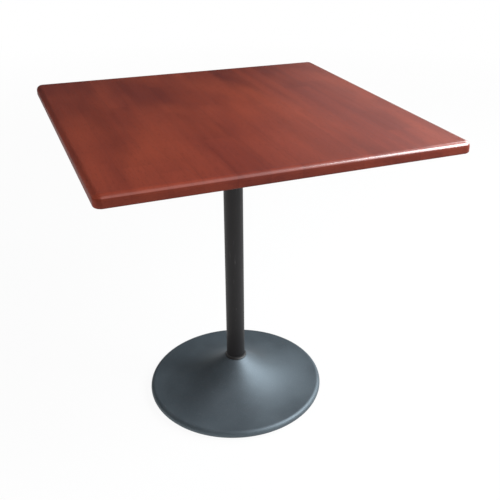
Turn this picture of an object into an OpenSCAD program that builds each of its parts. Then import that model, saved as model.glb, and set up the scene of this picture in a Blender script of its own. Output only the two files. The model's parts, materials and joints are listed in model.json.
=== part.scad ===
// Pedestal cafe table: a square wooden top on a round steel column and a trumpet-shaped base.
// Millimetres, +Z up. The origin is on the floor, in the middle under the column.
// A tie rod clamps spider bracket, column and ballast together, and the top is screwed to the spider.

/* [Overall] */
// Height of the upper face above the floor
table_h = 750; // [500:5:1150]
// Width of the tabletop, along X
top_w = 750; // [560:10:900]
// Depth of the tabletop, along Y
top_d = 750; // [560:10:900]
// Diameter of the base over its curled rim
base_d = 445; // [400:5:600]

/* [Tabletop] */
// Thickness of the tabletop
top_t = 25; // [22:1:40]
// Radius of the corners, seen from above
corner_r = 16; // [13:1:60]
// Radius of the rounding along the upper edge
upper_edge_r = 12; // [2:0.5:12.5]
// Radius of the rounding along the lower edge
lower_edge_r = 4; // [1:0.5:8]

/* [Column] */
// Outer diameter of the column tube
column_d = 46; // [38:0.5:60]
// Wall of the column tube
column_wall = 2; // [1.5:0.1:4]
// Diameter of the trim collar at the foot of the column, beyond the tube's own diameter
collar_extra = 8.5; // [7:0.5:20]
// Height of the trim collar
collar_h = 7; // [5:0.5:20]

/* [Tie rod] */
// Thread diameter of the tie rod
rod_d = 12; // [8:1:16]
// Thread pitch of the tie rod
rod_pitch = 1.75; // [1.25:0.25:2]
// Threaded length at each end of the tie rod
rod_thread_len = 40; // [25:1:60]
// Play around the rod in its holes, all round
rod_play = 0.5; // [0.3:0.1:1]

/* [Spider bracket] */
// Reach of each arm, from the middle to the centre of its round end
arm_reach = 165; // [120:5:230]
// Width of an arm where it leaves the boss
arm_root_w = 46; // [40:1:56]
// Width of an arm at its end
arm_tip_w = 28; // [20:1:36]
// Thickness of an arm
arm_t = 5; // [4:0.5:8]
// Thickness of the rib under each arm
rib_t = 5; // [3:0.5:8]
// Depth of that rib at the boss
rib_depth = 26; // [10:1:30]
// Wall of the boss around the column
boss_wall = 8; // [5:0.5:12]
// Depth of the boss's socket for the column
socket_depth = 30; // [20:1:45]
// Floor between the nut pocket and the socket
web_t = 6; // [4:0.5:10]

/* [Wood screws] */
// Thread diameter of a wood screw
screw_d = 5; // [4:0.25:6]
// Length of a wood screw under its head
screw_len = 22; // [16:1:24]
// Diameter of a screw's pan head
screw_head_d = 9.5; // [8:0.5:12]
// Distance between the two screws of an arm
screw_spacing = 75; // [50:5:90]

/* [Base shell] */
// Height of the neck's upper edge above the floor
neck_z = 91; // [80:1:110]
// Wall of the pressed shell
shell_t = 2; // [1.5:0.1:3]
// Radius of the curled rim
rim_r = 10; // [9:0.5:12]
// Gap between the curled rim and the floor
rim_gap = 1.5; // [1:0.5:4]
// How sharply the trumpet flares: 2 is a parabola, more keeps it flat for longer
flare_power = 2.4; // [2:0.1:2.6]

/* [Ballast] */
// Gap between the ballast plate and the floor
plate_gap = 7.5; // [7:0.5:8]
// Width of the rubber gasket between ballast and shell
gasket_w = 10; // [6:0.5:14]
// Thickness of that gasket
gasket_t = 2.5; // [1.5:0.25:3]

/* [Levelling feet] */
// Distance of the feet from the edge of the base
foot_inset = 75; // [70:1:90]
// Diameter of a foot pad
pad_d = 30; // [24:1:40]
// Height of a foot pad
pad_h = 5; // [5:0.5:6]
// Thread diameter of a foot stud
stud_d = 8; // [6:1:10]
// Thread pitch of a foot stud
stud_pitch = 1.25; // [1:0.25:1.5]
// Play between moving pieces
foot_play = 0.3; // [0.2:0.05:0.4]

/* [Hidden] */
$fn = 96;

FEET = 4;
ARMS = 4;
eps = 0.01;        // how far a cutter reaches past the face that it opens
seat_play = 0.15;  // radial play between the tube and the sockets it stands in
arc_steps = 8;     // straight pieces in each turned rounding
flare_steps = 40;  // straight pieces along the trumpet curve
thread_depth = 0.6; // depth of a thread, as a share of its pitch

top_under_z = table_h - top_t;
column_r = column_d / 2;
rod_r = rod_d / 2;
nut_af = 1.5 * rod_d + 1;       // width of a tie nut across its flats
nut_h = 0.85 * rod_d;
washer_r = 1.2 * rod_d;
washer_t = 2.5;
pocket_r = washer_r + 3;
nut_pocket_depth = washer_t + nut_h + 1.8;

boss_r = column_r + boss_wall;
column_top_z = top_under_z - nut_pocket_depth - web_t;
boss_bottom_z = column_top_z - socket_depth;

base_r = base_d / 2;
collar_r = column_r + collar_extra / 2;
neck_r = collar_r + 1;          // the neck's edge shows as a narrow ledge round the collar
neck_hole_r = column_r + 1;
neck_lip_r = 1.5;
curl_over = 20;                 // how far the rim curls in past its lowest point, in degrees
rim_centre_r = base_r - rim_r;
rim_top_z = rim_gap + 2 * rim_r;
flare_run = rim_centre_r - neck_r;
flare_rise = neck_z - neck_lip_r - rim_top_z;

shell_under_z = rim_top_z - shell_t;   // lowest point of the shell's inner face
plate_top_z = shell_under_z - 0.2;
plate_r = rim_centre_r - rim_r * sin(curl_over) - 1;  // passes the curl from below
gasket_bottom_z = shell_under_z - gasket_t;
foot_circle_r = base_r - foot_inset;
lower_stack_h = washer_t + washer_t + nut_h + 1.5;  // washer, lock washer, nut and the rod's tip
column_bottom_z = plate_gap + lower_stack_h + web_t;
hub_r = column_r + 10;
hub_top_z = neck_z - 14;

stud_r = stud_d / 2;
hex_h = 4;
hex_af = 1.6 * stud_d;
hex_z = pad_h + foot_play;
hex_top_z = hex_z + hex_h;
recess_r = 0.5 * hex_af / cos(30) + 3;
recess_top_z = hex_top_z + foot_play;
stud_top_z = under_flare(foot_circle_r + stud_r, shell_t)[1] - 0.5;
foot_boss_r = stud_r + 5;
foot_boss_top_z = under_flare(foot_circle_r + foot_boss_r, shell_t)[1] - 1;

arm_angle = 45;                       // the arms and the feet point at the tabletop's corners
outer_screw_r = arm_reach - 4;
rod_bottom_z = plate_gap + 0.5;
rod_top_z = top_under_z - 0.5;

// ---- shared shapes ----

// Points of an arc about [cx, cy], from angle a0 to a1
function arc(cx, cy, r, a0, a1, steps = arc_steps) =
    [for (i = [0:steps]) let (a = a0 + (a1 - a0) * i / steps) [cx + r * cos(a), cy + r * sin(a)]];

// Half outline of a threaded shank from z0 up to z1: a row of ridges with their crests at r
function thread_outline(r, pitch, z0, z1) =
    let (
        turns = floor((z1 - z0 - 0.2) / pitch),
        root = r - thread_depth * pitch,
        start = z1 - 0.1 - turns * pitch
    )
    concat(
        [[0, z0], [root, z0]],
        [for (i = [0:turns - 1]) each [
            [root, start + i * pitch],
            [r, start + (i + 0.4) * pitch],
            [r, start + (i + 0.6) * pitch],
        ]],
        [[root, z1], [0, z1]]
    );

module threaded(r, pitch, z0, z1) {
    rotate_extrude() polygon(thread_outline(r, pitch, z0, z1));
}

// Hexagon nut or flange with turned corners, standing on z0
module hexagon(across_flats, height, z0) {
    corner = across_flats / sqrt(3);
    chamfer = corner - across_flats / 2;
    translate([0, 0, z0]) intersection() {
        cylinder(r = corner, h = height, $fn = 6);
        rotate_extrude() polygon([
            [0, 0], [corner - chamfer, 0], [corner + eps, chamfer / 2],
            [corner + eps, height - chamfer / 2], [corner - chamfer, height], [0, height],
        ]);
    }
}

module ring(outer, inner, z0, z1) {
    difference() {
        translate([0, 0, z0]) cylinder(r = outer, h = z1 - z0);
        translate([0, 0, z0 - eps]) cylinder(r = inner, h = z1 - z0 + 2 * eps);
    }
}

module at_screws() {
    for (i = [0:ARMS - 1], r = [outer_screw_r - screw_spacing, outer_screw_r])
        rotate([0, 0, arm_angle + i * 360 / ARMS]) translate([r, 0, 0]) children();
}

module at_foot(i) {
    rotate([0, 0, arm_angle + (i - 1) * 360 / FEET]) translate([foot_circle_r, 0, 0]) children();
}

// ---- tabletop ----

// Half section of the tabletop's edge: x runs outwards from the corner's centre, y is height
function top_edge_outline() = concat(
    [[0, 0]],
    arc(corner_r - lower_edge_r, lower_edge_r, lower_edge_r, -90, 0),
    arc(corner_r - upper_edge_r, top_t - upper_edge_r, upper_edge_r, 0, 90),
    [[0, top_t]]
);

module top_side(length, from_middle) {
    translate([from_middle - corner_r, length / 2, 0]) rotate([90, 0, 0])
        linear_extrude(length) polygon(top_edge_outline());
}

module tabletop() {
    straight_w = top_w - 2 * corner_r;
    straight_d = top_d - 2 * corner_r;
    color("#7a3328") difference() {
        translate([0, 0, top_under_z]) union() {
            translate([-straight_w / 2, -straight_d / 2, 0]) cube([straight_w, straight_d, top_t]);
            for (a = [0, 180]) rotate([0, 0, a]) {
                top_side(straight_d, top_w / 2);
                rotate([0, 0, 90]) top_side(straight_w, top_d / 2);
            }
            for (a = [0:90:270])
                translate([sign(cos(a + 45)) * straight_w / 2, sign(sin(a + 45)) * straight_d / 2, 0])
                    rotate([0, 0, a]) rotate_extrude(angle = 90) polygon(top_edge_outline());
        }
        at_screws() translate([0, 0, top_under_z - eps])
            cylinder(d = screw_d + 0.1, h = screw_len - arm_t + 1);
    }
}

// ---- spider bracket and its screws ----

module spider_arm() {
    translate([0, 0, top_under_z - arm_t]) linear_extrude(arm_t) union() {
        polygon([
            [0, -arm_root_w / 2], [arm_reach, -arm_tip_w / 2],
            [arm_reach, arm_tip_w / 2], [0, arm_root_w / 2],
        ]);
        translate([arm_reach, 0]) circle(d = arm_tip_w);
    }
    rib_start = boss_r - boss_wall / 2;
    rib_end = outer_screw_r - screw_spacing - screw_head_d;
    translate([0, rib_t / 2, top_under_z - arm_t]) rotate([90, 0, 0]) linear_extrude(rib_t)
        polygon([[rib_start, eps], [rib_end, eps], [rib_end, -2], [rib_start, -rib_depth]]);
}

module top_spider() {
    color("#26282a") difference() {
        union() {
            translate([0, 0, boss_bottom_z]) cylinder(r = boss_r, h = top_under_z - boss_bottom_z);
            for (i = [0:ARMS - 1]) rotate([0, 0, arm_angle + i * 360 / ARMS]) spider_arm();
        }
        translate([0, 0, top_under_z - nut_pocket_depth]) cylinder(r = pocket_r, h = nut_pocket_depth + eps);
        translate([0, 0, column_top_z - eps]) cylinder(r = rod_r + rod_play, h = web_t + 2 * eps);
        translate([0, 0, boss_bottom_z - eps]) cylinder(r = column_r + seat_play, h = socket_depth + eps);
        at_screws() translate([0, 0, top_under_z - arm_t - eps])
            cylinder(d = screw_d + 0.6, h = arm_t + 2 * eps);
    }
}

module wood_screw() {
    head_h = 0.35 * screw_head_d;
    tip_len = screw_d;
    shank_top = screw_len - tip_len;
    difference() {
        union() {
            rotate_extrude() polygon(concat(
                [[0, -head_h]],
                [for (a = [-90:15:0]) [
                    screw_head_d / 2 - head_h * 0.7 * (1 - cos(a)),
                    head_h * 0.7 * sin(a) - 0.3 * head_h,
                ]],
                [[screw_head_d / 2, 0], [0, 0]]
            ));
            translate([0, 0, -eps]) threaded(screw_d / 2, screw_d / 2.5, 0, shank_top);
            translate([0, 0, shank_top - 2 * eps]) cylinder(r1 = screw_d / 2 * 0.55, r2 = 0.3, h = tip_len);
        }
        for (a = [0, 90]) rotate([0, 0, a])
            translate([0, 0, -head_h]) cube([0.5 * screw_head_d, 1.1, 1.2 * head_h], center = true);
    }
}

module spider_screws() {
    color("#8f9296") at_screws() translate([0, 0, top_under_z - arm_t]) wood_screw();
}

// ---- column, tie rod and their hardware ----

module column_tube() {
    color("#2a2b2e") ring(column_r, column_r - column_wall, column_bottom_z, column_top_z);
}

module column_collar() {
    inner = column_r + seat_play;
    foot_h = 1.2;
    hollow_w = collar_r - inner - 0.6;
    hollow_h = collar_h - foot_h;
    color("#202123") translate([0, 0, neck_z]) rotate_extrude() polygon(concat(
        [[inner, 0], [collar_r - 0.5, 0], [collar_r, 0.5]],
        [for (i = [0:12]) let (a = 90 * i / 12)
            [collar_r - hollow_w * sin(a), collar_h - hollow_h * cos(a)]],
        [[inner, collar_h]]
    ));
}

module tie_rod() {
    color("#9a9da1") {
        threaded(rod_r, rod_pitch, rod_bottom_z, rod_bottom_z + rod_thread_len);
        translate([0, 0, rod_bottom_z + rod_thread_len])
            cylinder(r = rod_r - 0.3, h = rod_top_z - rod_bottom_z - 2 * rod_thread_len);
        threaded(rod_r, rod_pitch, rod_top_z - rod_thread_len, rod_top_z);
    }
}

module tie_nut(z0) {
    difference() {
        hexagon(nut_af, nut_h, z0);
        translate([0, 0, z0 - eps]) cylinder(r = rod_r + 0.02, h = nut_h + 2 * eps);
    }
}

module lock_washer(z0) {
    difference() {
        ring(washer_r - 3, rod_r + rod_play, z0, z0 + washer_t);
        translate([rod_r, 0, z0 + washer_t / 2]) rotate([20, 0, 0])
            translate([0, -0.75, -2 * washer_t]) cube([washer_r, 1.5, 4 * washer_t]);
    }
}

module upper_tie_washer() {
    z0 = column_top_z + web_t;
    color("#a9acb0") ring(washer_r, rod_r + rod_play, z0, z0 + washer_t);
}

module upper_tie_nut() {
    color("#a9acb0") tie_nut(column_top_z + web_t + washer_t);
}

module lower_tie_washer() {
    z1 = column_bottom_z - web_t;
    color("#a9acb0") ring(washer_r, rod_r + rod_play, z1 - washer_t, z1);
}

module lower_lock_washer() {
    color("#a9acb0") lock_washer(column_bottom_z - web_t - 2 * washer_t);
}

module lower_tie_nut() {
    color("#a9acb0") tie_nut(column_bottom_z - web_t - 2 * washer_t - nut_h);
}

// ---- base ----

// Height of the shell's outer face at radius r, and its slope there
function flare_share(r) = (rim_centre_r - r) / flare_run;
function flare_z(r) = rim_top_z + flare_rise * pow(flare_share(r), flare_power);
function flare_slope(r) = -flare_power * flare_rise / flare_run * pow(flare_share(r), flare_power - 1);
// The point that lies depth under the outer face, square to it
function under_flare(r, depth) =
    let (s = flare_slope(r), n = sqrt(1 + s * s)) [r + depth * s / n, flare_z(r) - depth / n];
function flare_radii(r_from, r_to) = [for (i = [0:flare_steps]) r_from + (r_to - r_from) * i / flare_steps];

module base_shell() {
    inner_from = neck_hole_r + shell_t + 1.5;
    color("#4b5357") rotate_extrude() polygon(concat(
        [for (r = flare_radii(rim_centre_r, neck_r)) [r, flare_z(r)]],
        arc(neck_r - neck_lip_r, neck_z - neck_lip_r, neck_lip_r, 0, 90),
        [[neck_hole_r, neck_z], [neck_hole_r, neck_z - shell_t]],
        [for (r = flare_radii(neck_r, rim_centre_r - 0.5))
            let (p = under_flare(r, shell_t)) if (p[0] > inner_from - shell_t) p],
        arc(rim_centre_r, rim_gap + rim_r, rim_r - shell_t, 90, -90 - curl_over, 16),
        arc(rim_centre_r, rim_gap + rim_r, rim_r, -90 - curl_over, 84, 16)
    ));
}

module rim_gasket() {
    color("#1b1b1c") ring(plate_r, plate_r - gasket_w, gasket_bottom_z, gasket_bottom_z + gasket_t);
}

module ballast_plate() {
    color("#3a3b3c") difference() {
        union() {
            rotate_extrude() polygon([
                [0, plate_gap],
                [plate_r - 2, plate_gap], [plate_r, plate_gap + 2], [plate_r, gasket_bottom_z],
                [plate_r - gasket_w - 1, gasket_bottom_z], [plate_r - gasket_w - 1, plate_top_z],
                [foot_circle_r - 15, plate_top_z], [hub_r + 25, plate_top_z + 20],
                [hub_r, plate_top_z + 28], [hub_r, hub_top_z], [0, hub_top_z],
            ]);
            for (i = [1:FEET]) at_foot(i) translate([0, 0, plate_gap + 3])
                cylinder(r = foot_boss_r, h = foot_boss_top_z - plate_gap - 3);
        }
        translate([0, 0, column_bottom_z]) cylinder(r = column_r + seat_play, h = hub_top_z);
        translate([0, 0, plate_gap]) cylinder(r = rod_r + rod_play, h = column_bottom_z);
        translate([0, 0, plate_gap - eps]) cylinder(r = pocket_r, h = lower_stack_h + eps);
        for (i = [1:FEET]) at_foot(i) {
            translate([0, 0, plate_gap]) cylinder(r = stud_r + 0.1, h = foot_boss_top_z);
            translate([0, 0, plate_gap - eps]) cylinder(r = recess_r, h = recess_top_z - plate_gap + eps);
        }
    }
}

// ---- levelling feet ----

flange_r = stud_r + 1.5;   // retaining flange at the stud's lower end, moulded into the pad
flange_z = 1.8;
flange_t = 1.2;
spigot_r = stud_r - 0.5;

module foot_pad(i) {
    pad_round = 1.2;
    color("#17181a") at_foot(i) difference() {
        rotate_extrude() polygon(concat(
            [[0, 0], [pad_d / 2 - 0.5, 0], [pad_d / 2, 0.5]],
            arc(pad_d / 2 - pad_round, pad_h - pad_round, pad_round, 0, 90),
            [[0, pad_h]]
        ));
        translate([0, 0, flange_z]) cylinder(r = flange_r + 0.1, h = flange_t + foot_play);
        translate([0, 0, flange_z]) cylinder(r = spigot_r + 0.1, h = pad_h);
    }
}

module foot_stud(i) {
    color("#9fa2a6") at_foot(i) union() {
        translate([0, 0, flange_z]) cylinder(r = flange_r, h = flange_t);
        translate([0, 0, flange_z]) cylinder(r = spigot_r, h = hex_z - flange_z + eps);
        hexagon(hex_af, hex_h, hex_z);
        threaded(stud_r, stud_pitch, hex_top_z - eps, stud_top_z);
    }
}

tabletop();
top_spider();
spider_screws();
upper_tie_washer();
upper_tie_nut();
tie_rod();
column_tube();
column_collar();
base_shell();
rim_gasket();
ballast_plate();
lower_tie_washer();
lower_lock_washer();
lower_tie_nut();
for (i = [1:FEET]) {
    foot_pad(i);
    foot_stud(i);
}
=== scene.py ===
import json
import math

import bmesh
import bpy
from mathutils import Euler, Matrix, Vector


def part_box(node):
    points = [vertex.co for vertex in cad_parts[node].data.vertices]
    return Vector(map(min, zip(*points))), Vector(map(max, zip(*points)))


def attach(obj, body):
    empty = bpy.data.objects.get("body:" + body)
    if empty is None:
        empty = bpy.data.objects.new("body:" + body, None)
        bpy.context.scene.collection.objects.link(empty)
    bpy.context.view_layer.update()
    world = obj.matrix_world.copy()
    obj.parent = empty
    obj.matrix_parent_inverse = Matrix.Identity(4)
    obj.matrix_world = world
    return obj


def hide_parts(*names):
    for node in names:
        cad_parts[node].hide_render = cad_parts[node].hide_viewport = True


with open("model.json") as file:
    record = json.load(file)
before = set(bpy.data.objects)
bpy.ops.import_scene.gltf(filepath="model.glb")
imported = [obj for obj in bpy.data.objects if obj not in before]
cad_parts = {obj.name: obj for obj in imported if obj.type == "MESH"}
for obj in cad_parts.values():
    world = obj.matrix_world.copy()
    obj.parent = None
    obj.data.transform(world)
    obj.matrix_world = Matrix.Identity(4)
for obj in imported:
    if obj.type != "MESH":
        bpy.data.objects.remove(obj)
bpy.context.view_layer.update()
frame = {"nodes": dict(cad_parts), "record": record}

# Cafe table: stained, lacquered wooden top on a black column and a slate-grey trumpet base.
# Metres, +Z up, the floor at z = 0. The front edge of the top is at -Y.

# ---- camera and light: named values ----

CAMERA_AT = (-0.5297, -1.4654, 1.2148)
CAMERA_TURN_DEG = (64.414, -1.032, -24.156)
CAMERA_LENS_MM = 51.792
CAMERA_SHIFT = (-0.0758, -0.0522)

FLOOR_SIZE = 30.0
FLOOR_COLOUR = (0.70, 0.70, 0.70)
FLOOR_DROP = 0.0003               # the paper lies this far under z = 0, clear of the feet
FLOOR_WHITE = (0.94, 1.0)         # share of plain white in what shows of the floor, near and far
FLOOR_FADE = (1.2, 4.5)           # distances from the middle between which that share rises
FILL_COLOUR = (0.95, 0.98, 1.0)
FILL_STRENGTH = 0.38
CURTAIN_R = 3.6
CURTAIN_H = 4.6
CURTAIN_FROM_TO_DEG = (28, 250)
CURTAIN_DARK = (0.045, 0.045, 0.045)
CURTAIN_PALE = (0.45, 0.44, 0.44)
CURTAIN_RIGHT_X = (1.35, 2.35)    # towards the right the cloth turns from dark to pale between these

# ---- finishes ----

TOP_HALF_W = 0.375      # the staves are counted from the top's left edge
STAVE_W = 0.0625        # width of one glued stave
BLOCK_LEN = 0.42        # length of the pieces that a stave is joined from

# ---- shape details that the CAD frame leaves to this script ----

TOP_CORNER_R = 0.016
TOP_UPPER_R = 0.012
TOP_LOWER_R = 0.004
FLARE_POWER = 2.4
RIM_R = 0.010
CURL_OVER_DEG = 20
NECK_LEDGE = 0.001
SHELL_T = 0.002
NECK_LIP_R = 0.0015
NECK_HOLE_PLAY = 0.001  # round the column in the neck's hole
SEAT_PLAY = 0.00015     # round the column in the collar
COLUMN_WALL = 0.002
SIDE_TURN = 0.42        # faces of the top that point up less than this count as its sides
SMOOTH_ANGLE = math.radians(38)
SOFT_EDGES = {"bracket_casting": 0.0010, "ballast_iron": 0.0012, "foot_nylon": 0.0008}   # by finish


# ---------------------------------------------------------------- meshes ----

def arc(cx, cy, r, a0, a1, steps):
    """Points of an arc about (cx, cy), from a0 to a1 in degrees."""
    angles = [math.radians(a0 + (a1 - a0) * i / steps) for i in range(steps + 1)]
    return [(cx + r * math.cos(a), cy + r * math.sin(a)) for a in angles]


def finish_mesh(name, bm, material, node):
    """Turns bm into a smooth-shaded piece that rides where the CAD node does and stands for it."""
    bmesh.ops.recalc_face_normals(bm, faces=bm.faces[:])
    mesh = bpy.data.meshes.new(name)
    bm.to_mesh(mesh)
    bm.free()
    for face in mesh.polygons:
        face.use_smooth = True
    mesh.set_sharp_from_angle(angle=SMOOTH_ANGLE)
    mesh.materials.append(material)
    piece = bpy.data.objects.new(name, mesh)
    bpy.context.scene.collection.objects.link(piece)
    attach(piece, body_of[node])
    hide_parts(node)
    return piece


def lathe(name, outline, material, node, centre=(0.0, 0.0), steps=192):
    """A turned piece: a closed outline of (radius, height), where points on the axis close the ends."""
    bm = bmesh.new()
    rings = []
    for r, z in outline:
        if r < 1e-6:
            rings.append([bm.verts.new((centre[0], centre[1], z))])
            continue
        ring = []
        for k in range(steps):
            a = 2 * math.pi * k / steps
            ring.append(bm.verts.new((centre[0] + r * math.cos(a), centre[1] + r * math.sin(a), z)))
        rings.append(ring)
    pairs = list(zip(rings, rings[1:] + rings[:1]))
    for low, high in pairs:
        if len(low) == 1 and len(high) == 1:
            continue
        for k in range(steps):
            n = (k + 1) % steps
            corners = [low[k % len(low)], low[n % len(low)], high[n % len(high)], high[k % len(high)]]
            bm.faces.new(list(dict.fromkeys(corners)))
    return finish_mesh(name, bm, material, node)


def make_tabletop(material, side_material):
    """A square board with round corners; its upright sides and underside have a thinner lacquer and a darker
    colour, which is painted shade.
    """
    low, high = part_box("tabletop")
    edge = arc(-TOP_LOWER_R, low[2] + TOP_LOWER_R, TOP_LOWER_R, -90, 0, 8)
    edge += arc(-TOP_UPPER_R, high[2] - TOP_UPPER_R, TOP_UPPER_R, 0, 90, 20)
    bm = bmesh.new()
    loops = []
    for offset, z in edge:
        loop = []
        for quarter in range(4):
            a = 90 * quarter
            cx = (high[0] - TOP_CORNER_R) * (1 if quarter in (0, 3) else -1)
            cy = (high[1] - TOP_CORNER_R) * (1 if quarter in (0, 1) else -1)
            for x, y in arc(cx, cy, TOP_CORNER_R + offset, a, a + 90, 16):
                loop.append(bm.verts.new((x, y, z)))
        loops.append(loop)
    count = len(loops[0])
    for lower, upper in zip(loops, loops[1:]):
        for k in range(count):
            n = (k + 1) % count
            bm.faces.new((lower[k], lower[n], upper[n], upper[k]))
    bm.faces.new(loops[0][::-1])
    bm.faces.new(loops[-1])
    bm.normal_update()
    for face in bm.faces:
        face.material_index = 1 if face.normal.z < SIDE_TURN else 0
    board = finish_mesh("tabletop_board", bm, material, "tabletop")
    board.data.materials.append(side_material)
    return board


def flare(low, high, r_from, r_to, steps, depth=0.0):
    """Points along the base's trumpet curve, depth under its outer face."""
    rim_centre = high[0] - RIM_R
    rim_top = low[2] + 2 * RIM_R
    neck_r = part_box("column_collar")[1][0] + NECK_LEDGE
    run = rim_centre - neck_r
    rise = high[2] - NECK_LIP_R - rim_top
    points = []
    for i in range(steps + 1):
        r = r_from + (r_to - r_from) * i / steps
        share = max(0.0, (rim_centre - r) / run)
        z = rim_top + rise * share ** FLARE_POWER
        slope = -FLARE_POWER * rise / run * share ** (FLARE_POWER - 1)
        square = math.hypot(1, slope)
        points.append((r + depth * slope / square, z - depth / square))
    return points


def make_shell(material):
    """The pressed base: trumpet curve, curled rim, rolled neck, open underneath."""
    low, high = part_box("base_shell")
    neck_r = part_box("column_collar")[1][0] + NECK_LEDGE
    hole_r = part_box("column_tube")[1][0] + NECK_HOLE_PLAY
    rim_centre = high[0] - RIM_R
    outline = flare(low, high, rim_centre, neck_r, 110)
    outline += arc(neck_r - NECK_LIP_R, high[2] - NECK_LIP_R, NECK_LIP_R, 0, 90, 8)[1:]
    outline += [(hole_r, high[2]), (hole_r, high[2] - SHELL_T)]
    inner_face = flare(low, high, neck_r, rim_centre - 0.0005, 90, SHELL_T)
    outline += [(r, z) for r, z in inner_face if r > hole_r + 0.0015]
    outline += arc(rim_centre, low[2] + RIM_R, RIM_R - SHELL_T, 90, -90 - CURL_OVER_DEG, 36)
    outline += arc(rim_centre, low[2] + RIM_R, RIM_R, -90 - CURL_OVER_DEG, 86, 36)
    return lathe("base_shell_pressing", outline, material, "base_shell", steps=256)


def make_column(material):
    low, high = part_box("column_tube")
    r = high[0]
    inner = r - COLUMN_WALL
    edge = 0.0006       # broken edges of the tube's ends
    outline = [(r - edge, low[2]), (r, low[2] + edge), (r, high[2] - edge), (r - edge, high[2]),
               (inner + edge / 2, high[2]), (inner, high[2] - edge), (inner, low[2] + edge),
               (inner + edge / 2, low[2])]
    return lathe("column_tube_body", outline, material, "column_tube", steps=160)


def make_collar(material):
    low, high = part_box("column_collar")
    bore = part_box("column_tube")[1][0] + SEAT_PLAY
    outer = high[0]
    skirt = 0.0012      # upright lower edge
    lip = 0.0006        # thickness of the upper edge against the tube
    across = outer - bore - lip
    rise = high[2] - low[2] - skirt
    outline = [(bore, low[2]), (outer - 0.0005, low[2]), (outer, low[2] + 0.0005)]
    outline += [(outer + across * x, high[2] + rise * y) for x, y in arc(0, 0, 1, 270, 180, 20)]
    outline.append((bore, high[2] - 0.0003))
    return lathe("column_collar_ring", outline, material, "column_collar", steps=128)


# ------------------------------------------------------------- materials ----

class Shader:
    """One material's node tree, with short names for the nodes that the finishes below use."""

    def __init__(self, name):
        self.material = bpy.data.materials.new(name)
        self.material.use_nodes = True
        self.tree = self.material.node_tree
        self.tree.nodes.clear()
        self.out = self.tree.nodes.new("ShaderNodeOutputMaterial")
        self.bsdf = self.tree.nodes.new("ShaderNodeBsdfPrincipled")
        self.tree.links.new(self.bsdf.outputs["BSDF"], self.out.inputs["Surface"])
        self.place = self.tree.nodes.new("ShaderNodeTexCoord").outputs["Object"]

    def put(self, socket, value):
        if isinstance(value, bpy.types.NodeSocket):
            self.tree.links.new(value, socket)
        elif isinstance(value, (tuple, list)) and socket.type == "RGBA" and len(value) == 3:
            socket.default_value = (*value, 1.0)
        else:
            socket.default_value = value

    def set(self, **values):
        """Sets the shader's own sockets; an underscore stands for a space."""
        for name, value in values.items():
            self.put(self.bsdf.inputs[name.replace("_", " ")], value)

    def math(self, operation, a, b=0.0):
        node = self.tree.nodes.new("ShaderNodeMath")
        node.operation = operation
        self.put(node.inputs[0], a)
        self.put(node.inputs[1], b)
        return node.outputs[0]

    def scaled(self, vector, factors, offset=(0.0, 0.0, 0.0)):
        node = self.tree.nodes.new("ShaderNodeVectorMath")
        node.operation = "MULTIPLY_ADD"
        self.put(node.inputs[0], vector)
        self.put(node.inputs[1], factors)
        self.put(node.inputs[2], offset)
        return node.outputs[0]

    def split(self, vector):
        node = self.tree.nodes.new("ShaderNodeSeparateXYZ")
        self.put(node.inputs[0], vector)
        return node.outputs

    def join(self, x, y, z):
        node = self.tree.nodes.new("ShaderNodeCombineXYZ")
        for socket, value in zip(node.inputs, (x, y, z)):
            self.put(socket, value)
        return node.outputs[0]

    def noise(self, vector, scale, detail=3.0, roughness=0.5, distortion=0.0):
        node = self.tree.nodes.new("ShaderNodeTexNoise")
        self.put(node.inputs["Vector"], vector)
        self.put(node.inputs["Scale"], scale)
        self.put(node.inputs["Detail"], detail)
        self.put(node.inputs["Roughness"], roughness)
        self.put(node.inputs["Distortion"], distortion)
        return node.outputs[0]

    def random(self, vector):
        node = self.tree.nodes.new("ShaderNodeTexWhiteNoise")
        node.noise_dimensions = "3D"
        self.put(node.inputs["Vector"], vector)
        return node.outputs

    def cells(self, vector, scale, feature="F1"):
        node = self.tree.nodes.new("ShaderNodeTexVoronoi")
        node.feature = feature
        self.put(node.inputs["Vector"], vector)
        self.put(node.inputs["Scale"], scale)
        return node.outputs

    def remap(self, value, low, high, to_low=0.0, to_high=1.0):
        node = self.tree.nodes.new("ShaderNodeMapRange")
        for name, number in (("Value", value), ("From Min", low), ("From Max", high),
                             ("To Min", to_low), ("To Max", to_high)):
            self.put(node.inputs[name], number)
        return node.outputs[0]

    def ramp(self, value, stops):
        node = self.tree.nodes.new("ShaderNodeValToRGB")
        self.put(node.inputs[0], value)
        elements = node.color_ramp.elements
        while len(elements) < len(stops):
            elements.new(0.5)
        for element, (position, colour) in zip(elements, stops):
            element.position = position
            element.color = (*colour, 1.0)
        return node.outputs[0]

    def mix(self, factor, a, b, blend="MIX"):
        node = self.tree.nodes.new("ShaderNodeMix")
        node.data_type = "RGBA"
        node.blend_type = blend
        self.put(node.inputs[0], factor)
        self.put(node.inputs[6], a)
        self.put(node.inputs[7], b)
        return node.outputs[2]

    def bump(self, height, distance, strength=1.0, under=None):
        node = self.tree.nodes.new("ShaderNodeBump")
        self.put(node.inputs["Height"], height)
        node.inputs["Distance"].default_value = distance
        node.inputs["Strength"].default_value = strength
        if under is not None:
            self.put(node.inputs["Normal"], under)
        return node.outputs[0]


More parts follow.
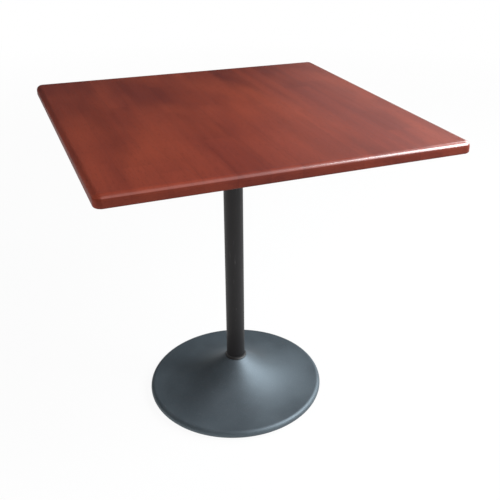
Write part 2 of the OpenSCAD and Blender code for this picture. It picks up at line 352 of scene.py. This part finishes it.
def stained_wood(name, lacquer, haze, depth, shine):
    """Edge-glued, end-joined hardwood blocks under an uneven red-brown stain and a clear lacquer, with lighter
    orange patches of painted light; a depth under 1 darkens the whole colour as painted shade.
    """
    s = Shader(name)
    x, y, z = s.split(s.place)
    column = s.math("FLOOR", s.math("DIVIDE", s.math("ADD", x, TOP_HALF_W), STAVE_W))
    stave_random = s.random(s.join(column, 3.0, 0.0))[0]
    along = s.math("ADD", s.math("DIVIDE", y, BLOCK_LEN), s.math("MULTIPLY", stave_random, 7.0))
    block = s.math("FLOOR", along)
    tone, tint = s.random(s.join(column, block, 1.0))
    stave_tone = s.random(s.join(column, 11.0, 4.0))[0]
    shift = s.scaled(tint, (3.0, 5.0, 2.0))

    grain_at = s.scaled(s.place, (1.0, 0.035, 1.0), shift)
    figure = s.noise(grain_at, 38.0, 3.0, 0.55, 0.6)
    fibres = s.noise(s.scaled(s.place, (1.0, 0.018, 1.0), shift), 420.0, 4.0, 0.6)
    pores = s.noise(s.scaled(s.place, (1.0, 0.05, 1.0), shift), 1300.0, 1.0, 0.5)
    stain = s.noise(s.scaled(s.place, (1.0, 0.42, 1.0), (3.2, 1.4, 0.0)), 5.4, 2.0, 0.45, 0.2)
    painted_glow = s.noise(s.scaled(s.place, (1.0, 0.4, 1.0), (2.3, 7.7, 0.0)), 6.0, 2.5, 0.5, 0.3)

    shade = s.math("ADD", s.math("MULTIPLY", tone, 0.16), s.math("MULTIPLY", stave_tone, 0.12))
    shade = s.math("ADD", shade, s.math("MULTIPLY", figure, 0.45))
    shade = s.math("ADD", shade, s.math("MULTIPLY", fibres, 0.25))
    colour = s.ramp(shade, [
        (0.28, (0.140, 0.024, 0.016)),
        (0.44, (0.188, 0.033, 0.021)),
        (0.56, (0.228, 0.041, 0.025)),
        (0.72, (0.270, 0.054, 0.030)),
    ])
    colour = s.mix(s.remap(stain, 0.42, 0.72, 0.0, 0.42), colour, (0.110, 0.020, 0.016))
    # lighter orange patches laid over the top: painted light
    colour = s.mix(s.remap(painted_glow, 0.42, 0.70, 0.0, 0.62), colour, (0.372, 0.070, 0.033))
    colour = s.mix(s.remap(pores, 0.60, 0.72, 0.0, 0.45), colour, (0.050, 0.010, 0.008))
    across = s.math("FRACT", s.math("DIVIDE", s.math("ADD", x, TOP_HALF_W), STAVE_W))
    joint = s.math("ABSOLUTE", s.math("SUBTRACT", across, 0.5))
    seam = s.remap(joint, 0.493, 0.4995)
    colour = s.mix(s.math("MULTIPLY", seam, 0.35), colour, (0.060, 0.012, 0.009))
    # depth under 1 multiplies the whole colour darker: painted shade for faces meant to look less lit
    s.set(Base_Color=s.mix(1.0, colour, (depth, depth, depth), "MULTIPLY"))

    s.set(Roughness=s.remap(s.math("ADD", fibres, s.math("MULTIPLY", stain, 0.6)), 0.4, 1.1, 0.40, 0.52))
    s.set(Specular_IOR_Level=shine, Coat_Weight=lacquer, Coat_Roughness=haze, Coat_IOR=1.6)
    fine = s.bump(fibres, 0.00012, 0.35)
    wavy = s.bump(s.noise(s.scaled(s.place, (1.0, 0.3, 1.0)), 55.0, 2.0), 0.0003, 0.25, fine)
    sunk = s.bump(s.math("SUBTRACT", 1.0, seam), 0.0002, 0.3, wavy)
    s.set(Normal=sunk)
    peel = s.bump(s.noise(s.place, 260.0, 2.0), 0.00008, 0.25)
    s.set(Coat_Normal=peel)
    return s.material


def powder_coat(name, dark, light, roughness, texture_scale, rim_scuffs=False, metal=0.0, shine=0.5):
    """Baked powder, plain or metallic: orange-peel skin, faint clouds, dust in the texture and fine scuffs."""
    s = Shader(name)
    x, y, z = s.split(s.place)
    cloud = s.noise(s.place, 9.0, 3.0, 0.55)
    grains = s.noise(s.place, texture_scale, 2.0, 0.6)
    colour = s.mix(s.remap(cloud, 0.35, 0.68), dark, light)
    colour = s.mix(s.remap(grains, 0.56, 0.78, 0.0, 0.35), colour, tuple(min(1.0, c * 1.9) for c in light))
    scratch = s.noise(s.scaled(s.place, (1.0, 1.0, 0.10), (2.0, 1.0, 0.0)), 210.0, 1.0, 0.4, 1.5)
    scuff = s.math("MULTIPLY", s.remap(scratch, 0.70, 0.76), s.remap(cloud, 0.48, 0.60))
    if rim_scuffs:
        scuff = s.math("MULTIPLY", scuff, s.remap(z, 0.030, 0.012, 0.15, 1.0))
    colour = s.mix(s.math("MULTIPLY", scuff, 0.35), colour, (0.16, 0.165, 0.17))
    s.set(Base_Color=colour)
    s.set(Roughness=s.math("ADD", s.remap(cloud, 0.3, 0.7, roughness - 0.04, roughness + 0.05),
                           s.math("MULTIPLY", scuff, 0.12)))
    s.set(Specular_IOR_Level=shine, Metallic=metal)
    skin = s.bump(grains, 0.00012, 0.45)
    peel = s.bump(s.noise(s.place, texture_scale * 0.28, 2.0), 0.0003, 0.20, skin)
    s.set(Normal=peel)
    return s.material


def cast_iron():
    """Rough sand casting under thin grey primer, with rust showing in its pits."""
    s = Shader("ballast_iron")
    sand = s.noise(s.place, 700.0, 4.0, 0.65)
    lumps = s.noise(s.place, 85.0, 4.0, 0.6)
    patches = s.noise(s.place, 16.0, 4.0, 0.6, 0.3)
    colour = s.mix(s.remap(lumps, 0.35, 0.65), (0.030, 0.031, 0.033), (0.060, 0.060, 0.062))
    rust = s.math("MULTIPLY", s.remap(patches, 0.56, 0.70), s.remap(sand, 0.45, 0.62))
    colour = s.mix(s.math("MULTIPLY", rust, 0.7), colour, (0.130, 0.045, 0.018))
    s.set(Base_Color=colour)
    s.set(Roughness=s.remap(sand, 0.3, 0.7, 0.58, 0.80), Metallic=0.25)
    pits = s.bump(sand, 0.0004, 0.6)
    s.set(Normal=s.bump(lumps, 0.0009, 0.5, pits))
    return s.material


def zinc_steel():
    """Bright zinc plating with its faint crystals and handling marks."""
    s = Shader("zinc_steel")
    crystals = s.cells(s.place, 300.0)[0]
    marks = s.noise(s.scaled(s.place, (1.0, 1.0, 0.2)), 500.0, 3.0, 0.6)
    dull = s.noise(s.place, 45.0, 3.0, 0.6)
    colour = s.mix(s.remap(dull, 0.35, 0.7), (0.56, 0.57, 0.59), (0.36, 0.37, 0.38))
    colour = s.mix(s.math("MULTIPLY", crystals, 0.18), colour, (0.75, 0.75, 0.72))
    s.set(Base_Color=colour, Metallic=1.0)
    s.set(Roughness=s.math("ADD", s.remap(dull, 0.3, 0.7, 0.24, 0.42), s.math("MULTIPLY", marks, 0.08)))
    s.set(Normal=s.bump(marks, 0.00006, 0.4))
    return s.material


def moulded(name, colour, grain_scale, roughness, dust=0.25):
    """Moulded plastic or rubber: fine eroded skin, with pale dust and rub marks."""
    s = Shader(name)
    skin = s.noise(s.place, grain_scale, 3.0, 0.6)
    wear = s.noise(s.place, 60.0, 4.0, 0.65, 0.4)
    worn = s.remap(wear, 0.55, 0.75)
    pale = tuple(c * 3.0 + 0.02 for c in colour)
    s.set(Base_Color=s.mix(s.math("MULTIPLY", worn, dust), colour, pale))
    s.set(Roughness=s.remap(s.math("ADD", skin, worn), 0.3, 1.4, roughness - 0.06, roughness + 0.14))
    s.set(Normal=s.bump(skin, 0.00008, 0.5))
    return s.material


def soften_edges(obj, width):
    """Breaks the sharp edges of a cast or moulded part."""
    bevel = obj.modifiers.new("soft_edges", "BEVEL")
    bevel.width = width
    bevel.segments = 3
    bevel.limit_method = "ANGLE"
    bevel.angle_limit = SMOOTH_ANGLE
    bevel.use_clamp_overlap = True


# ------------------------------------------------------- lights and stage ----

def area_light(name, at, aim, size, watts, colour):
    """A soft box at a place, pointing at aim."""
    lamp = bpy.data.lights.new(name, "AREA")
    lamp.shape = "RECTANGLE"
    lamp.size, lamp.size_y = size
    lamp.energy = watts
    lamp.color = colour
    holder = bpy.data.objects.new(name, lamp)
    holder.location = at
    direction = [a - b for a, b in zip(aim, at)]
    holder.rotation_euler = Vector(direction).to_track_quat("-Z", "Y").to_euler()
    bpy.context.scene.collection.objects.link(holder)
    return holder


def shown_rays(tree):
    """1 for the rays that show the background: camera, glossy and transmission rays."""
    rays = tree.nodes.new("ShaderNodeLightPath")
    total = rays.outputs["Is Camera Ray"]
    for name in ("Is Glossy Ray", "Is Transmission Ray"):
        add = tree.nodes.new("ShaderNodeMath")
        add.operation = "ADD"
        add.use_clamp = True
        tree.links.new(total, add.inputs[0])
        tree.links.new(rays.outputs[name], add.inputs[1])
        total = add.outputs[0]
    return total


def make_world():
    """White where the background shows, and a soft fill light elsewhere."""
    world = bpy.data.worlds.new("studio")
    bpy.context.scene.world = world
    world.use_nodes = True
    tree = world.node_tree
    tree.nodes.clear()
    out = tree.nodes.new("ShaderNodeOutputWorld")
    fill = tree.nodes.new("ShaderNodeBackground")
    fill.inputs["Color"].default_value = (*FILL_COLOUR, 1.0)
    fill.inputs["Strength"].default_value = FILL_STRENGTH
    white = tree.nodes.new("ShaderNodeBackground")
    white.inputs["Color"].default_value = (1.0, 1.0, 1.0, 1.0)
    white.inputs["Strength"].default_value = 1.0
    mix = tree.nodes.new("ShaderNodeMixShader")
    tree.links.new(shown_rays(tree), mix.inputs[0])
    tree.links.new(fill.outputs[0], mix.inputs[1])
    tree.links.new(white.outputs[0], mix.inputs[2])
    tree.links.new(mix.outputs[0], out.inputs["Surface"])


def make_floor():
    """Pale paper. What shows of it is mostly white by itself, so that only a soft shadow stays on it."""
    mesh = bpy.data.meshes.new("floor")
    half = FLOOR_SIZE / 2
    corners = [(-half, -half, 0), (half, -half, 0), (half, half, 0), (-half, half, 0)]
    mesh.from_pydata(corners, [], [(0, 1, 2, 3)])
    floor = bpy.data.objects.new("floor", mesh)
    floor.location.z = -FLOOR_DROP
    bpy.context.scene.collection.objects.link(floor)
    s = Shader("floor_paper")
    s.set(Base_Color=FLOOR_COLOUR, Roughness=0.9, Specular_IOR_Level=0.1)
    white = s.tree.nodes.new("ShaderNodeEmission")
    mix = s.tree.nodes.new("ShaderNodeMixShader")
    x, y = s.split(s.place)[:2]
    away = s.math("POWER", s.math("ADD", s.math("MULTIPLY", x, x), s.math("MULTIPLY", y, y)), 0.5)
    share = s.math("MULTIPLY", shown_rays(s.tree), s.remap(away, *FLOOR_FADE, *FLOOR_WHITE))
    s.tree.links.new(share, mix.inputs[0])
    s.tree.links.new(s.bsdf.outputs[0], mix.inputs[1])
    s.tree.links.new(white.outputs[0], mix.inputs[2])
    s.tree.links.new(mix.outputs[0], s.out.inputs["Surface"])
    mesh.materials.append(s.material)


def make_curtain():
    """A curtain and a ceiling that the camera doesn't see: dark, and paler towards the right."""
    steps = 36
    first, last = CURTAIN_FROM_TO_DEG
    rim = arc(0.0, 0.0, CURTAIN_R, first, last, steps)
    verts = [(x, y, z) for x, y in rim for z in (0.0, CURTAIN_H)]
    faces = [(2 * i, 2 * i + 2, 2 * i + 3, 2 * i + 1) for i in range(steps)]
    faces.append([2 * i + 1 for i in range(steps + 1)])
    mesh = bpy.data.meshes.new("curtain")
    mesh.from_pydata(verts, [], faces)
    curtain = bpy.data.objects.new("curtain", mesh)
    bpy.context.scene.collection.objects.link(curtain)
    s = Shader("curtain_cloth")
    x = s.split(s.place)[0]
    s.set(Base_Color=s.mix(s.remap(x, *CURTAIN_RIGHT_X), CURTAIN_DARK, CURTAIN_PALE))
    s.set(Roughness=0.95, Specular_IOR_Level=0.0)
    mesh.materials.append(s.material)
    curtain.visible_camera = False


def make_camera():
    data = bpy.data.cameras.new("camera")
    data.sensor_width = 36.0
    data.lens = CAMERA_LENS_MM
    data.shift_x, data.shift_y = CAMERA_SHIFT
    data.clip_start = 0.05
    data.clip_end = 100.0
    camera = bpy.data.objects.new("camera", data)
    camera.location = CAMERA_AT
    camera.rotation_euler = Euler([math.radians(a) for a in CAMERA_TURN_DEG], "XYZ")
    bpy.context.scene.collection.objects.link(camera)
    bpy.context.scene.camera = camera


# ------------------------------------------------------------------ build ----

body_of = {node: body for body, nodes in frame["record"]["behaviour"]["bodies"].items() for node in nodes}
slot_of = {part["node"]: part["material_slot"] for part in frame["record"]["subparts"]}

finishes = {
    "stained_wood": stained_wood("stained_wood", 1.0, 0.23, 1.0, 0.12),
    "bracket_casting": powder_coat(
        "bracket_casting", (0.016, 0.016, 0.017), (0.026, 0.026, 0.028), 0.55, 900.0),
    "black_powder_coat": powder_coat(
        "black_powder_coat", (0.0075, 0.0065, 0.007), (0.011, 0.010, 0.0105), 0.46, 1100.0, shine=0.32),
    "grey_powder_coat": powder_coat(
        "grey_powder_coat", (0.079, 0.100, 0.115), (0.099, 0.125, 0.143), 0.55, 420.0,
        rim_scuffs=True, metal=0.62),
    "collar_plastic": moulded("collar_plastic", (0.012, 0.012, 0.012), 1500.0, 0.45, 0.12),
    "gasket_rubber": moulded("gasket_rubber", (0.012, 0.012, 0.012), 900.0, 0.62),
    "ballast_iron": cast_iron(),
    "zinc_steel": zinc_steel(),
    "foot_nylon": moulded("foot_nylon", (0.014, 0.014, 0.015), 1200.0, 0.48),
}

for node, obj in frame["nodes"].items():
    obj.data.materials.clear()
    obj.data.materials.append(finishes[slot_of[node]])
    if slot_of[node] in SOFT_EDGES:
        soften_edges(obj, SOFT_EDGES[slot_of[node]])

# the sides' wood is darkened to 0.66 (depth): painted shade on the upright sides and underside
make_tabletop(finishes["stained_wood"], stained_wood("stained_wood_shaded_sides", 0.10, 0.35, 0.66, 0.04))
make_shell(finishes["grey_powder_coat"])
make_column(finishes["black_powder_coat"])
make_collar(finishes["collar_plastic"])

make_camera()
make_floor()
make_world()
make_curtain()
area_light("window", (1.65, -1.25, 2.0), (0.2, -0.2, 0.7), (0.85, 1.6), 84.0, (0.95, 0.97, 1.0))
area_light("side_softbox", (2.3, 0.1, 1.8), (0.0, 0.0, 0.4), (2.4, 1.5), 76.0, (0.93, 0.97, 1.0))
side_fill = area_light("side_fill", (-2.3, -0.3, 1.0), (0.0, 0.0, 0.72), (1.6, 0.8), 36.0, (1.0, 0.98, 0.96))
side_fill.visible_glossy = False

bpy.context.scene.view_settings.view_transform = "Standard"
